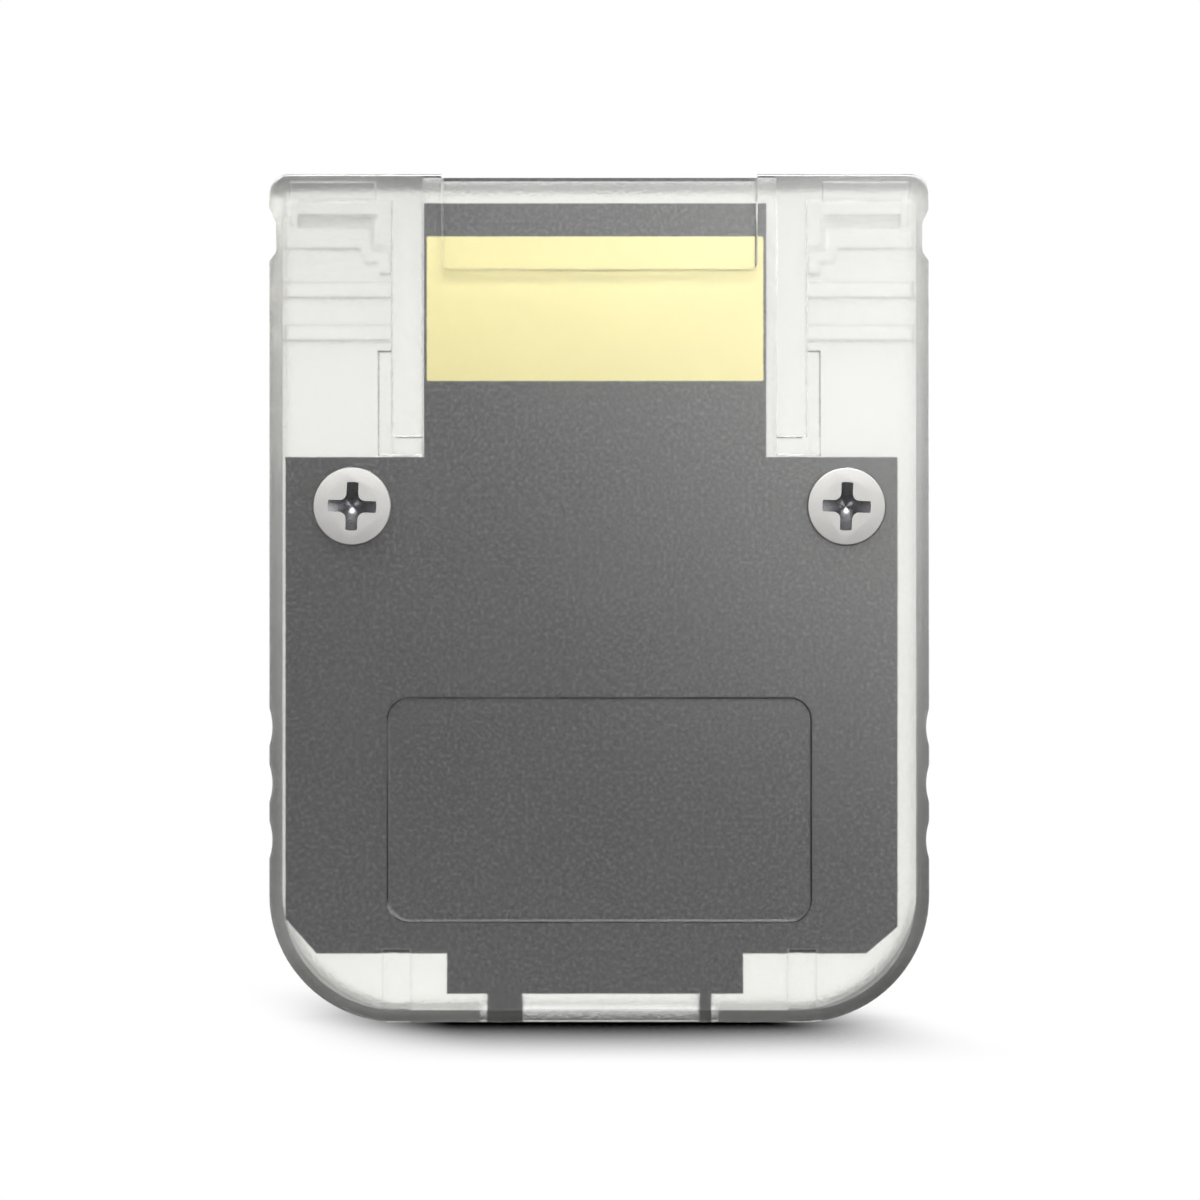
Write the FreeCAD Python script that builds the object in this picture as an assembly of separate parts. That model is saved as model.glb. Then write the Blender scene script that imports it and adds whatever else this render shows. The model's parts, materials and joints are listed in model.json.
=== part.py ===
import FreeCAD, Part
import math
import os

V = FreeCAD.Vector

# Millimetres. X runs across the card, Y through it from the rear face, Z up from the grip end.

# Case
case_width = 46.7
case_height = 60.0
case_depth = 8.0
side_wall = 0.9
grip_end_wall = 0.8
connector_end_wall = 1.75
rear_wall = 1.5
front_wall = 1.1
grip_corner_radius = 9.0
connector_corner_radius = 1.4
rear_edge_radius = 0.15
front_edge_bevel = 0.9
parting_gap = 0.05

# Lap joint between the two shells, which stops short of the latch notches
lap_height = 0.6
lap_thickness = 0.35
lap_clearance = 0.05
lap_below_notch = 1.2

# Latch notch in each side, near the connector end
notch_from_end = 3.4
notch_length = 2.1
notch_depth = 0.5
notch_upper_slope = 1.0
notch_lower_slope = 0.7
notch_corner_radius = 0.2

# Finger grips in each side
grip_count = 3
grip_pitch = 4.0
grip_length = 2.7
grip_depth = 0.23
grip_centre = 16.9

# Shallow seats in the outer faces
rear_label_width = 30.1
rear_label_height = 16.0
rear_label_from_end = 7.0
rear_label_radius = 1.6
front_label_width = 36.0
front_label_height = 26.0
front_label_from_end = 12.0
front_label_radius = 3.0
label_depth = 0.2
label_side_slope = 0.12
label_foot_height = 0.05
label_foot_slope = 0.16
relief_width = 22.4
relief_length = 6.9
relief_depth = 0.3
relief_slope = 0.2
relief_radius = 0.7
relief_end_drop = 0.25
mouth_lead = 0.2

# Circuit board
board_thickness = 1.0
board_gap = 0.1
board_left_gap = 0.2
board_right_gap = 1.3
board_shift = -0.3
board_recess = 2.0
tongue_width = 24.26
tongue_length = 18.0
tongue_bevel = 0.4
foot_width = 21.0
foot_length = 2.85
board_chamfer_width = 2.2
board_left_chamfer_height = 2.5
board_right_chamfer_height = 1.9
board_hole_clearance = 0.4

# Plated copper on the board
plating = 0.05
pad_side_inset = 0.2
pad_from_edge = 2.35
pad_length = 10.25
pad_radius = 0.12
finger_count = 12
finger_pitch = 1.9
finger_width = 1.3
finger_length = 8.0
finger_from_edge = 0.6

# Connector bay and the ribs beside it
rib_edge_width = 0.09
rib_edge_depth = 0.32
rib_root = 0.2
bay_gap = 0.4
bay_wall = 2.25
shoulder_gap = 0.1
shoulder_foot_height = 1.35
shoulder_post_height = 7.45
shoulder_post_width = 1.35
shoulder_post_offset = 0.92
cross_rib_thickness = 1.15
cross_rib_from_end = [8.05, 11.1]
latch_rib_from_end = 3.55
latch_rib_thickness = 1.6
latch_rib_end_gap = 1.4
latch_rib_drop = 1.8
latch_step_width = 0.95
latch_step_rise = 0.8
latch_step_lean = 0.4
corner_rib_width = 1.1
corner_rib_from_end = 1.1
corner_rib_length = 3.9
ear_rib_width = 1.1
ear_bar_thickness = 0.9
ear_bar_flank = 0.65
ear_bar_lift = 1.0
ear_lip_from_end = 0.4
ear_lip_from_side = 1.35

# Board seat posts at the grip end
seat_spacing = 28.8
seat_width = 2.0
seat_height = 4.0
seat_key_depth = 0.35
seat_gap = 0.03

# Case screws
screw_from_side = 5.85
screw_below_shoulder = 3.5
screw_diameter = 2.6
screw_head_diameter = 5.5
screw_head_rim = 0.25
screw_head_sink = 0.05
screw_seat_clearance = 0.06
screw_tip_length = 0.9
screw_tip_gap = 0.8
screw_hole_clearance = 0.2
cross_span = 3.45
cross_arm_width = 0.83
cross_fillet = 0.5
cross_depth = 1.15
cross_turn = 2.0
cross_core_share = 0.35
boss_diameter = 6.0
pilot_clearance = 0.03
pilot_extra_depth = 0.3

# Push-push flash card socket
socket_width = 15.94
socket_height = 1.9
eject_leg_width = 2.52
plain_leg_width = 0.88
leg_reach = 2.2
lead_in = 1.4
socket_floor = 0.45
socket_back_wall = 0.9
card_width = 11.0
card_clearance = 0.15
window_clearance = 0.5
window_height_clearance = 0.15
channel_wall = 0.5
channel_start = 3.1
channel_floor = 0.35

# Socket cover, stamped from sheet
cover_sheet = 0.15
cover_gap = 0.05
cover_start = 2.4
cover_end_inset = 0.6
cover_flange_lift = 0.45
cover_foot_reach = 0.8
cover_foot_width = 1.4
cover_foot_inset = 1.6
cover_tongue_width = 1.6
cover_tongue_length = 5.5
cover_tongue_start = 5.0
cover_tongue_spacing = 5.4
cover_slit = 0.3

# Socket contacts
contact_count = 8
contact_pitch = 1.1
contact_width = 0.6
contact_sheet = 0.15
contact_gap = 0.06
contact_tail = 0.8
contact_rise = 1.0
contact_tip_drop = 0.25
contact_reach = 4.7
contact_tip_length = 0.8
contact_root_length = 1.0

# Eject slider, its cam track, pin and spring
slider_width = 1.7
slider_length = 7.5
slider_stroke = 3.2
slide_gap = 0.05
slider_end_gap = 0.15
slider_nose_gap = 0.1
slider_tab_length = 0.6
slider_tab_reach = 0.5
slider_tab_gap = 0.1
track_margin = 0.3
track_depth = 0.3
track_gap = 0.05
track_corner_radius = 0.13
heart_width = 0.42
heart_length = 1.9
heart_from_nose = 1.05
heart_cup = 0.25
heart_slope = 0.7
wire_sides = 6
wire_diameter = 0.3
wire_bend = 0.3
wire_pivot = 1.6
wire_pocket_width = 0.8
spring_diameter = 0.8
spring_wire = 0.15
spring_turns = 5
spring_gap = 0.05
spring_slot_clearance = 0.06
spring_slot_length = 3.0

# Chip parts in a row on the front of the board, above the socket
chip_cap = 0.3
chip_cap_step = 0.03
chip_row_spacing = 3.2
chip_row_height = 6.0
capacitor_length = 2.0
capacitor_width = 1.25
capacitor_thickness = 1.0
bypass_length = 1.6
bypass_width = 0.8
bypass_thickness = 0.8
resistor_count = 4
resistor_length = 1.6
resistor_width = 0.8
resistor_thickness = 0.45

# Levels through the thickness
rear_face = -case_depth / 2
front_face = case_depth / 2
rear_inner = rear_face + rear_wall
front_inner = front_face - front_wall
board_rear = rear_inner + board_gap
board_front = board_rear + board_thickness
parting = board_front + socket_height / 2
rear_seam = parting - parting_gap / 2
front_seam = parting + parting_gap / 2

# Places across and up the case
half_width = case_width / 2
inner_half = half_width - side_wall
board_bottom = grip_end_wall + seat_height
board_top = case_height - board_recess
shoulder = board_top - tongue_length
end_inner = case_height - connector_end_wall
tongue_half = tongue_width / 2
bay_half = tongue_half + bay_gap
bay_outer = bay_half + bay_wall
notch_top = case_height - notch_from_end
notch_bottom = notch_top - notch_length
screw_x = half_width - screw_from_side
screw_z = shoulder - screw_below_shoulder
screw_head_level = rear_face + screw_head_sink
screw_length = front_inner - screw_tip_gap - screw_head_level

# Levels and places in the socket
floor_top = board_front + socket_floor
channel_low = board_front + channel_floor
cover_low = board_front + socket_height - cover_sheet
socket_left = -socket_width / 2
socket_right = socket_width / 2
mouth_left = socket_left + eject_leg_width
mouth_right = socket_right - plain_leg_width
card_centre = (mouth_left + mouth_right) / 2
guide_left = card_centre - card_width / 2 - card_clearance
guide_right = card_centre + card_width / 2 + card_clearance
channel_left = socket_left + channel_wall
channel_right = channel_left + slider_width + 2 * slide_gap
channel_centre = (channel_left + channel_right) / 2
slider_start = channel_start + slider_nose_gap
slider_end = slider_start + slider_length
card_stop = slider_end + slider_stroke + slider_end_gap
socket_length = card_stop + socket_back_wall
slider_low = channel_low + slide_gap
slider_high = cover_low - 2 * slide_gap
wire_level = cover_low - slide_gap - wire_diameter
track_deck = wire_level - wire_diameter / 2 - slide_gap
track_floor = track_deck - track_depth
track_width = wire_diameter + 2 * track_gap
track_start = slider_start + track_margin
track_length = slider_stroke + track_width
wire_x = channel_centre - heart_width / 2 - track_width / 2
wire_tip = track_start + track_length - track_width / 2
spring_slot_start = slider_end - spring_slot_length
spring_level = channel_low + slide_gap + spring_diameter / 2


def place(plane, u, v, level):
    if plane == "xz":
        return V(u, level, v)
    if plane == "yz":
        return V(level, u, v)
    return V(u, v, level)


def outline(corners, plane, level):
    """Closed wire through corners given as (u, v, radius), each rounded to its own radius."""
    turns = []
    for index, (u, v, radius) in enumerate(corners):
        here = V(u, v, 0)
        back = (V(*corners[index - 1][:2], 0) - here).normalize()
        ahead = (V(*corners[(index + 1) % len(corners)][:2], 0) - here).normalize()
        half = back.getAngle(ahead) / 2
        inward = (back + ahead).normalize() if radius > 0 else V(0, 0, 0)
        reach = radius / math.tan(half)
        middle = here + inward * (radius / math.sin(half) - radius)
        points = (here + back * reach, middle, here + ahead * reach)
        turns.append([place(plane, point.x, point.y, level) for point in points])
    edges = []
    for index, (start, middle, end) in enumerate(turns):
        edges.append(Part.makeLine(turns[index - 1][2], start))
        if corners[index][2] > 0:
            edges.append(Part.Arc(start, middle, end).toShape())
    return Part.Wire(edges)


def inset(corners, distance):
    """The same corners moved inwards, or out if less than 0, so that each edge keeps its direction."""
    ahead_of = corners[1:] + corners[:1]
    area = sum(a[0] * b[1] - b[0] * a[1] for a, b in zip(corners, ahead_of))
    inward = distance * math.copysign(1, area)
    moved = []
    for index, (u, v, radius) in enumerate(corners):
        here = V(u, v, 0)
        back = (here - V(*corners[index - 1][:2], 0)).normalize()
        ahead = (V(*ahead_of[index][:2], 0) - here).normalize()
        normals = [V(-run.y, run.x, 0) for run in (back, ahead)]
        mitre = (normals[0] + normals[1]).normalize()
        move = mitre * (inward / mitre.dot(normals[0]))
        moved.append((u + move.x, v + move.y, max(radius - distance, 0) if radius > 0 else 0))
    return moved


def prism(corners, plane, low, high):
    direction = place(plane, 0, 0, high - low)
    return Part.Face(outline(corners, plane, low)).extrude(direction)


def sloped(corners, wide_level, narrow_level, slope):
    """Upright form whose sides lean inwards by this slope between two levels."""
    wide = outline(corners, "xz", wide_level)
    narrow = outline(inset(corners, slope), "xz", narrow_level)
    return Part.makeLoft([wide, narrow], True, True)


def label_seat(corners, face, floor):
    """Shallow seat with steep sides and a gentle slope round its floor."""
    bend = floor + math.copysign(label_foot_height, face - floor)
    foot = inset(corners, label_side_slope)
    return sloped(corners, face, bend, label_side_slope).fuse(sloped(foot, bend, floor, label_foot_slope))


def rib(corners, root, tip):
    """Rib from root to tip, with its edges eased at the tip."""
    eased = tip + math.copysign(rib_edge_depth, root - tip)
    low, high = sorted((root, eased))
    return prism(corners, "xz", low, high).fuse(sloped(corners, eased, tip, rib_edge_width))


def corners_of(x, z):
    return [(x[0], z[0], 0), (x[1], z[0], 0), (x[1], z[1], 0), (x[0], z[1], 0)]


def block(x, y, z):
    return Part.makeBox(x[1] - x[0], y[1] - y[0], z[1] - z[0], V(x[0], y[0], z[0]))


def panel(centre, width, low, high, radius):
    """Corners of an upright rectangle with rounded corners."""
    left = centre - width / 2
    right = centre + width / 2
    return [(left, low, radius), (right, low, radius), (right, high, radius), (left, high, radius)]


def turned(profile, x, y, z):
    """Solid of revolution about an axis along Y, from (radius, distance) points."""
    wire = Part.makePolygon([V(radius, along, 0) for radius, along in profile + profile[:1]])
    solid = Part.Face(wire).revolve(V(0, 0, 0), V(0, 1, 0), 360)
    solid.translate(V(x, y, z))
    return solid


def both_sides(shape):
    return [shape, shape.mirror(V(0, 0, 0), V(1, 0, 0))]


def case_corners(side, grip_end, connector_end):
    half = half_width - side
    top = case_height - connector_end
    low_radius = grip_corner_radius - side
    top_radius = max(connector_corner_radius - side, 0)
    return [
        (-half, grip_end, low_radius),
        (half, grip_end, low_radius),
        (half, top, top_radius),
        (-half, top, top_radius),
    ]


def grip_cuts():
    radius = (grip_length ** 2 / 4 + grip_depth ** 2) / (2 * grip_depth)
    cuts = []
    for index in range(grip_count):
        z = grip_centre + (index - (grip_count - 1) / 2) * grip_pitch
        x = half_width + radius - grip_depth
        cuts += both_sides(Part.makeCylinder(radius, case_depth, V(x, rear_face, z), V(0, 1, 0)))
    return cuts


def notch_cuts():
    floor = half_width - notch_depth
    clear = half_width + notch_depth
    corners = [
        (floor, notch_bottom, notch_corner_radius),
        (clear, notch_bottom - 2 * notch_lower_slope, 0),
        (clear, notch_top + 2 * notch_upper_slope, 0),
        (floor, notch_top, notch_corner_radius),
    ]
    return both_sides(prism(corners, "xz", rear_face, front_face))


def face_rim(body, face):
    return [edge for edge in body.Edges if all(abs(v.Y - face) < parting_gap / 2 for v in edge.Vertexes)]


def hollowed(body, inner, seam):
    """One half of the case, hollow, with grips, notches and the connector mouth."""
    low, high = sorted((inner, seam))
    cavity = prism(case_corners(side_wall, grip_end_wall, connector_end_wall), "xz", low, high)
    mouth = block((-bay_half, bay_half), (low, high), (shoulder, case_height))
    return body.cut([cavity, mouth] + grip_cuts() + notch_cuts())


def lap_ring(outer_gap, low, high):
    """Band inside the case wall, open at the connector end below the notches."""
    inset = lap_thickness + outer_gap
    outer = prism(case_corners(side_wall - inset, grip_end_wall - inset, 0), "xz", low, high)
    inner = prism(case_corners(side_wall, grip_end_wall, 0), "xz", low, high)
    top = notch_bottom - notch_lower_slope - lap_below_notch + outer_gap
    return outer.cut(inner).common(block((-half_width, half_width), (low, high), (0, top)))


def card_window():
    """Opening in the grip end in front of the socket, open to the front for a finger."""
    half = socket_width / 2 + window_clearance
    low = board_front - window_height_clearance
    return block((-half, half), (low, front_face), (0, grip_end_wall))


def screw_places():
    return [(-screw_x, screw_z), (screw_x, screw_z)]


def seat_posts():
    """Post under each side of the board, with a bevelled key in the board's edge."""
    key = seat_key_depth - seat_gap
    top = board_bottom + key
    corners = [
        (rear_inner - board_gap, grip_end_wall / 2, 0),
        (rear_inner - board_gap, top, 0),
        (board_front - key, top, 0),
        (board_front, board_bottom, 0),
        (rear_seam, board_bottom, 0),
        (rear_seam, grip_end_wall / 2, 0),
    ]
    near = (seat_spacing - seat_width) / 2
    return both_sides(prism(corners, "yz", near, near + seat_width))


def shoulder_ribs():
    """L-shaped rib over each shoulder of the board."""
    low = shoulder + shoulder_gap
    post_out = bay_outer + shoulder_post_offset
    post_in = post_out - shoulder_post_width
    corners = [
        (bay_half, low, 0),
        (post_out, low, 0),
        (post_out, low + shoulder_post_height, 0),
        (post_in, low + shoulder_post_height, 0),
        (post_in, low + shoulder_foot_height, 0),
        (bay_half, low + shoulder_foot_height, 0),
    ]
    return both_sides(rib(corners, rear_inner - board_gap, board_front))


def bay_walls(root, tip, foot):
    return both_sides(rib(corners_of((bay_half, bay_outer), (foot, end_inner + rib_root)), root, tip))


def end_drop():
    """Shallow step across both lips of the connector mouth."""
    half = relief_width / 2
    return block((-half, half), (rear_face, front_face), (case_height - relief_end_drop, case_height))


def mouth_bevels():
    """Lead-in along the inner edge of the rear lip, which follows the step in that lip."""
    bevels = []
    for half, end in ((bay_half, case_height), (relief_width / 2, case_height - relief_end_drop)):
        corners = [(rear_inner, end, 0), (rear_inner, end - mouth_lead, 0), (rear_inner - mouth_lead, end, 0)]
        bevels.append(prism(corners, "yz", -half, half))
    return bevels


def rear_shell():
    body = prism(case_corners(0, 0, 0), "xz", rear_face, rear_seam)
    body = body.makeFillet(rear_edge_radius, face_rim(body, rear_face))
    shell = hollowed(body, rear_inner, rear_seam)
    foot = shoulder + shoulder_gap + shoulder_foot_height
    ribs = seat_posts() + shoulder_ribs() + bay_walls(rear_inner - board_gap, rear_seam, foot)
    shell = shell.fuse(ribs).removeSplitter()
    label_top = rear_label_from_end + rear_label_height
    label = panel(0, rear_label_width, rear_label_from_end, label_top, rear_label_radius)
    half = relief_width / 2
    relief_low = case_height - relief_length
    relief_high = case_height + relief_slope
    relief = [
        (-half, relief_low, relief_radius),
        (half, relief_low, relief_radius),
        (half, relief_high, 0),
        (-half, relief_high, 0),
    ]
    cuts = mouth_bevels() + [
        label_seat(label, rear_face, rear_face + label_depth),
        sloped(relief, rear_face, rear_face + relief_depth, relief_slope),
        end_drop(),
        lap_ring(lap_clearance, front_seam - lap_height - lap_clearance, rear_seam),
        card_window(),
    ]
    cuts += ear_lips(lap_clearance, front_seam, front_seam - lap_height - lap_clearance)
    for x, z in screw_places():
        cuts.append(screw_form(x, z, -screw_head_sink, screw_seat_clearance, screw_hole_clearance))
    return shell.cut(cuts)


def latch_ribs():
    """Rib behind each latch notch, which steps down to the bay wall."""
    top = case_height - latch_rib_from_end
    low = top - latch_rib_thickness
    turn = bay_outer + latch_rib_end_gap
    outer = half_width - notch_depth - parting_gap
    foot = low - latch_rib_drop
    step = bay_outer + latch_step_width
    corners = [
        (outer, top, 0),
        (turn, top, 0),
        (turn, low, 0),
        (bay_outer, top - latch_rib_drop, 0),
        (bay_outer, foot, 0),
        (step, foot, 0),
        (step, foot + latch_step_rise, 0),
        (step + latch_step_width, foot + latch_step_rise, 0),
        (step + latch_step_width + latch_step_lean, low, 0),
        (outer, low, 0),
    ]
    return both_sides(rib(corners, front_inner + parting_gap, front_seam))


def front_ribs():
    root = front_inner + parting_gap
    ribs = bay_walls(root, front_seam, shoulder + shoulder_gap) + latch_ribs()
    beside_bay = bay_outer - rib_root
    for from_end in cross_rib_from_end:
        middle = case_height - from_end
        z = (middle - cross_rib_thickness / 2, middle + cross_rib_thickness / 2)
        ribs += both_sides(rib(corners_of((beside_bay, inner_half + rib_root), z), root, front_seam))
    corner_top = case_height - corner_rib_from_end
    corner_x = (beside_bay, bay_outer + corner_rib_width)
    corner_z = (corner_top - corner_rib_length, corner_top)
    ribs += both_sides(rib(corners_of(corner_x, corner_z), root, front_seam))
    ear_x = (inner_half - ear_rib_width, inner_half + rib_root)
    ear_z = (case_height - latch_rib_from_end - rib_root, end_inner + rib_root)
    ribs += both_sides(rib(corners_of(ear_x, ear_z), root, front_seam))
    bar_top = end_inner - lap_clearance
    bar_low = bar_top - ear_bar_thickness
    tip = front_seam - ear_bar_lift
    bar = [
        (root, end_inner, 0),
        (root, bar_low - ear_bar_flank, 0),
        (tip, bar_low, 0),
        (tip, bar_top - rib_edge_width, 0),
        (tip + rib_edge_depth, bar_top, 0),
        (front_seam, bar_top, 0),
        (front_seam, end_inner, 0),
    ]
    ribs += both_sides(prism(bar, "yz", corner_x[1] - parting_gap, ear_x[0] + parting_gap))
    return ribs


def ear_lips(clearance, root, tip):
    """Lip in each ear, or with a clearance the recess for it, along its end and down its side."""
    end = case_height - ear_lip_from_end
    side = half_width - ear_lip_from_side
    low = case_height - latch_rib_from_end
    inner = bay_outer + corner_rib_width
    corners = [
        (inner, end_inner, 0),
        (inner_half - ear_rib_width, end_inner, 0),
        (inner_half - ear_rib_width, low, 0),
        (side, low, 0),
        (side, end, 0),
        (inner, end, 0),
    ]
    return both_sides(rib(inset(corners, -clearance), root, tip))


def screw_bosses():
    bosses = []
    for x, z in screw_places():
        length = front_inner + parting_gap - board_front
        bosses.append(Part.makeCylinder(boss_diameter / 2, length, V(x, board_front, z), V(0, 1, 0)))
    return bosses


def front_shell():
    body = prism(case_corners(0, 0, 0), "xz", front_seam, front_face)
    body = body.makeChamfer(front_edge_bevel, face_rim(body, front_face))
    shell = hollowed(body, front_inner, front_seam)
    lips = ear_lips(0, front_seam + lap_height, front_seam - lap_height)
    lips.append(lap_ring(0, front_seam - lap_height, front_seam + lap_height))
    shell = shell.fuse(front_ribs() + screw_bosses() + lips).removeSplitter()
    label_top = front_label_from_end + front_label_height
    label = panel(0, front_label_width, front_label_from_end, label_top, front_label_radius)
    cuts = [
        label_seat(label, front_face, front_face - label_depth),
        end_drop(),
        card_window(),
    ]
    pilot_length = screw_head_level + screw_length + pilot_extra_depth - board_front
    pilot_radius = screw_diameter / 2 + pilot_clearance
    for x, z in screw_places():
        cuts.append(Part.makeCylinder(pilot_radius, pilot_length, V(x, board_front, z), V(0, 1, 0)))
    return shell.cut(cuts)


def circuit_board():
    foot = foot_width / 2
    right = (1, board_right_gap, board_right_chamfer_height)
    left = (-1, board_left_gap, board_left_chamfer_height)
    corners = []
    for side, gap, chamfer_height in (right, left):
        edge = side * (inner_half - gap)
        run = [
            (board_shift + side * foot, board_bottom - foot_length, 0),
            (board_shift + side * foot, board_bottom, 0),
            (edge - side * board_chamfer_width, board_bottom, 0),
            (edge, board_bottom + chamfer_height, 0),
            (edge, shoulder, 0),
            (board_shift + side * tongue_half, shoulder, 0),
            (board_shift + side * tongue_half, board_top, 0),
        ]
        corners += run[::side]
    board = prism(corners, "xz", board_rear, board_front)
    bevel = [
        (board_front, board_top, 0),
        (board_front, board_top - tongue_bevel, 0),
        (board_front - tongue_bevel, board_top, 0),
    ]
    key = seat_width / 2 + seat_gap
    key_x = (seat_spacing / 2 - key, seat_spacing / 2 + key)
    key_z = (board_bottom - seat_key_depth, board_bottom + seat_key_depth)
    cuts = both_sides(block(key_x, (board_rear, board_front), key_z))
    cuts.append(prism(bevel, "yz", -bay_half, bay_half))
    hole_radius = screw_diameter / 2 + board_hole_clearance
    for x, z in screw_places():
        cuts.append(Part.makeCylinder(hole_radius, board_thickness, V(x, board_rear, z), V(0, 1, 0)))
    return board.cut(cuts)


def shield_pad():
    high = board_top - pad_from_edge
    corners = panel(board_shift, tongue_width - 2 * pad_side_inset, high - pad_length, high, pad_radius)
    return prism(corners, "xz", board_rear - plating, board_rear)


def edge_contacts():
    fingers = []
    high = board_top - tongue_bevel - finger_from_edge
    for index in range(finger_count):
        x = board_shift + (index - (finger_count - 1) / 2) * finger_pitch
        corners = panel(x, finger_width, high - finger_length, high, 0)
        fingers.append(prism(corners, "xz", board_front, board_front + plating))
    return Part.makeCompound(fingers)


def screw_form(x, z, top, seat_clearance, hole_clearance):
    """Countersunk screw, or with clearances the hole that it passes through in the rear shell."""
    head = screw_head_diameter / 2 + seat_clearance
    shank = screw_diameter / 2 + hole_clearance
    rim = screw_head_rim + seat_clearance
    neck = rim + head - shank
    profile = [
        (0, top),
        (head, top),
        (head, rim),
        (shank, neck),
        (shank, screw_length - screw_tip_length),
        (0, screw_length),
    ]
    return turned(profile, x, screw_head_level, z)


def cross_recess(x, z):
    """Cross recess with rounded inner corners, narrowing to its floor."""
    span = cross_span / 2
    arm = cross_arm_width / 2
    quarter = [(span, -arm, 0), (span, arm, 0), (arm, arm, cross_fillet)]
    corners = []
    for turn in range(4):
        angle = math.radians(90 * turn)
        for u, v, radius in quarter:
            turned_u = u * math.cos(angle) - v * math.sin(angle)
            corners.append((turned_u, u * math.sin(angle) + v * math.cos(angle), radius))
    wings = prism(corners, "xz", 0, cross_depth)
    taper = Part.makeCone(span, span * cross_core_share, cross_depth, V(0, 0, 0), V(0, 1, 0))
    recess = wings.common(taper)
    recess.rotate(V(0, 0, 0), V(0, 1, 0), cross_turn)
    recess.translate(V(x, screw_head_level, z))
    return recess


def case_screws():
    screws = [screw_form(x, z, 0, 0, 0).cut(cross_recess(x, z)) for x, z in screw_places()]
    return Part.makeCompound(screws)


def contact_places():
    return [card_centre + (index - (contact_count - 1) / 2) * contact_pitch for index in range(contact_count)]


def socket_base():
    """U-shaped moulding with a card path, a channel for the slider and slots for the contacts."""
    base = block((socket_left, socket_right), (board_front, cover_low), (0, socket_length))
    path = [
        (mouth_left, 0, 0),
        (mouth_right, 0, 0),
        (mouth_right, leg_reach, 0),
        (guide_right, leg_reach + lead_in, 0),
        (guide_right, card_stop, 0),
        (guide_left, card_stop, 0),
        (guide_left, leg_reach + lead_in, 0),
        (mouth_left, leg_reach, 0),
    ]
    tab_x = (channel_centre, guide_left)
    tab_z = (slider_end - slider_tab_length - slider_tab_gap, card_stop)
    pocket_x = (wire_x - wire_pocket_width / 2, wire_x + wire_pocket_width / 2)
    pocket_y = (track_deck, cover_low)
    wire_radius = wire_diameter / 2
    pivot_depth = wire_level - track_floor
    pivot = V(wire_x, track_floor, wire_pivot)
    cuts = [
        prism(path, "xz", floor_top, cover_low),
        block((mouth_left, mouth_right), (board_front, floor_top), (0, leg_reach)),
        block((channel_left, channel_right), (channel_low, cover_low), (channel_start, card_stop)),
        block(tab_x, (floor_top, cover_low), tab_z),
        block(pocket_x, pocket_y, (wire_pivot - wire_pocket_width / 2, channel_start)),
        Part.makeCylinder(wire_radius + track_gap, pivot_depth, pivot, V(0, 1, 0)),
    ]
    slot = contact_width / 2 + contact_gap
    tip = card_stop - contact_root_length - contact_reach - contact_tip_length
    for x in contact_places():
        cuts.append(block((x - slot, x + slot), (board_front, floor_top), (tip - contact_gap, socket_length)))
    return base.cut(cuts)


def slit_round(centre, low):
    """Three-sided slit that frees a spring tongue in the cover."""
    wide = cover_tongue_width / 2 + cover_slit
    narrow = cover_tongue_width / 2
    high = low + cover_tongue_length
    y = (cover_low, cover_low + cover_sheet)
    slit = block((centre - wide, centre + wide), y, (low, high))
    return slit.cut(block((centre - narrow, centre + narrow), y, (low + cover_slit, high)))


def socket_cover():
    half = socket_width / 2 + cover_gap + cover_sheet
    high = cover_low + cover_sheet
    plate = block((-half, half), (cover_low, high), (cover_start, socket_length))
    flange_z = (cover_start + cover_end_inset, socket_length - cover_end_inset)
    folds = both_sides(block((half - cover_sheet, half), (board_front + cover_flange_lift, high), flange_z))
    for middle in (cover_start + cover_foot_inset, socket_length - cover_foot_inset):
        z = (middle - cover_foot_width / 2, middle + cover_foot_width / 2)
        foot_y = (board_front, board_front + cover_sheet)
        folds += both_sides(block((half - cover_sheet, half), (board_front, high), z))
        folds += both_sides(block((half - cover_sheet, half + cover_foot_reach), foot_y, z))
    cover = plate.fuse(folds).removeSplitter()
    offset = cover_tongue_spacing / 2
    tongues = [card_centre - offset, card_centre + offset]
    return cover.cut([slit_round(x, cover_tongue_start) for x in tongues])


def ribbon(points, thickness):
    """Corners of a strip of even thickness along a line of (u, v) points."""
    line = [V(u, v, 0) for u, v in points]
    sides = []
    for index, here in enumerate(line):
        runs = []
        if index > 0:
            runs.append((here - line[index - 1]).normalize())
        if index < len(line) - 1:
            runs.append((line[index + 1] - here).normalize())
        normals = [V(-run.y, run.x, 0) for run in runs]
        mitre = (normals[0] + normals[-1]).normalize()
        sides.append(mitre * (thickness / 2 / mitre.dot(normals[0])))
    left = [here + side for here, side in zip(line, sides)]
    right = [here - side for here, side in zip(line, sides)]
    return [(p.x, p.y, 0) for p in left + right[::-1]]


def socket_contact(x):
    """Sprung strip: soldered tail, run under the back wall, arm that rises to the card, turned-down tip."""
    sole = board_front + contact_sheet / 2
    root = card_stop - contact_root_length
    crest = root - contact_reach
    points = [
        (sole, socket_length + contact_tail),
        (sole, root),
        (sole + contact_rise, crest),
        (sole + contact_rise - contact_tip_drop, crest - contact_tip_length),
    ]
    return prism(ribbon(points, contact_sheet), "yz", x - contact_width / 2, x + contact_width / 2)


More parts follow.
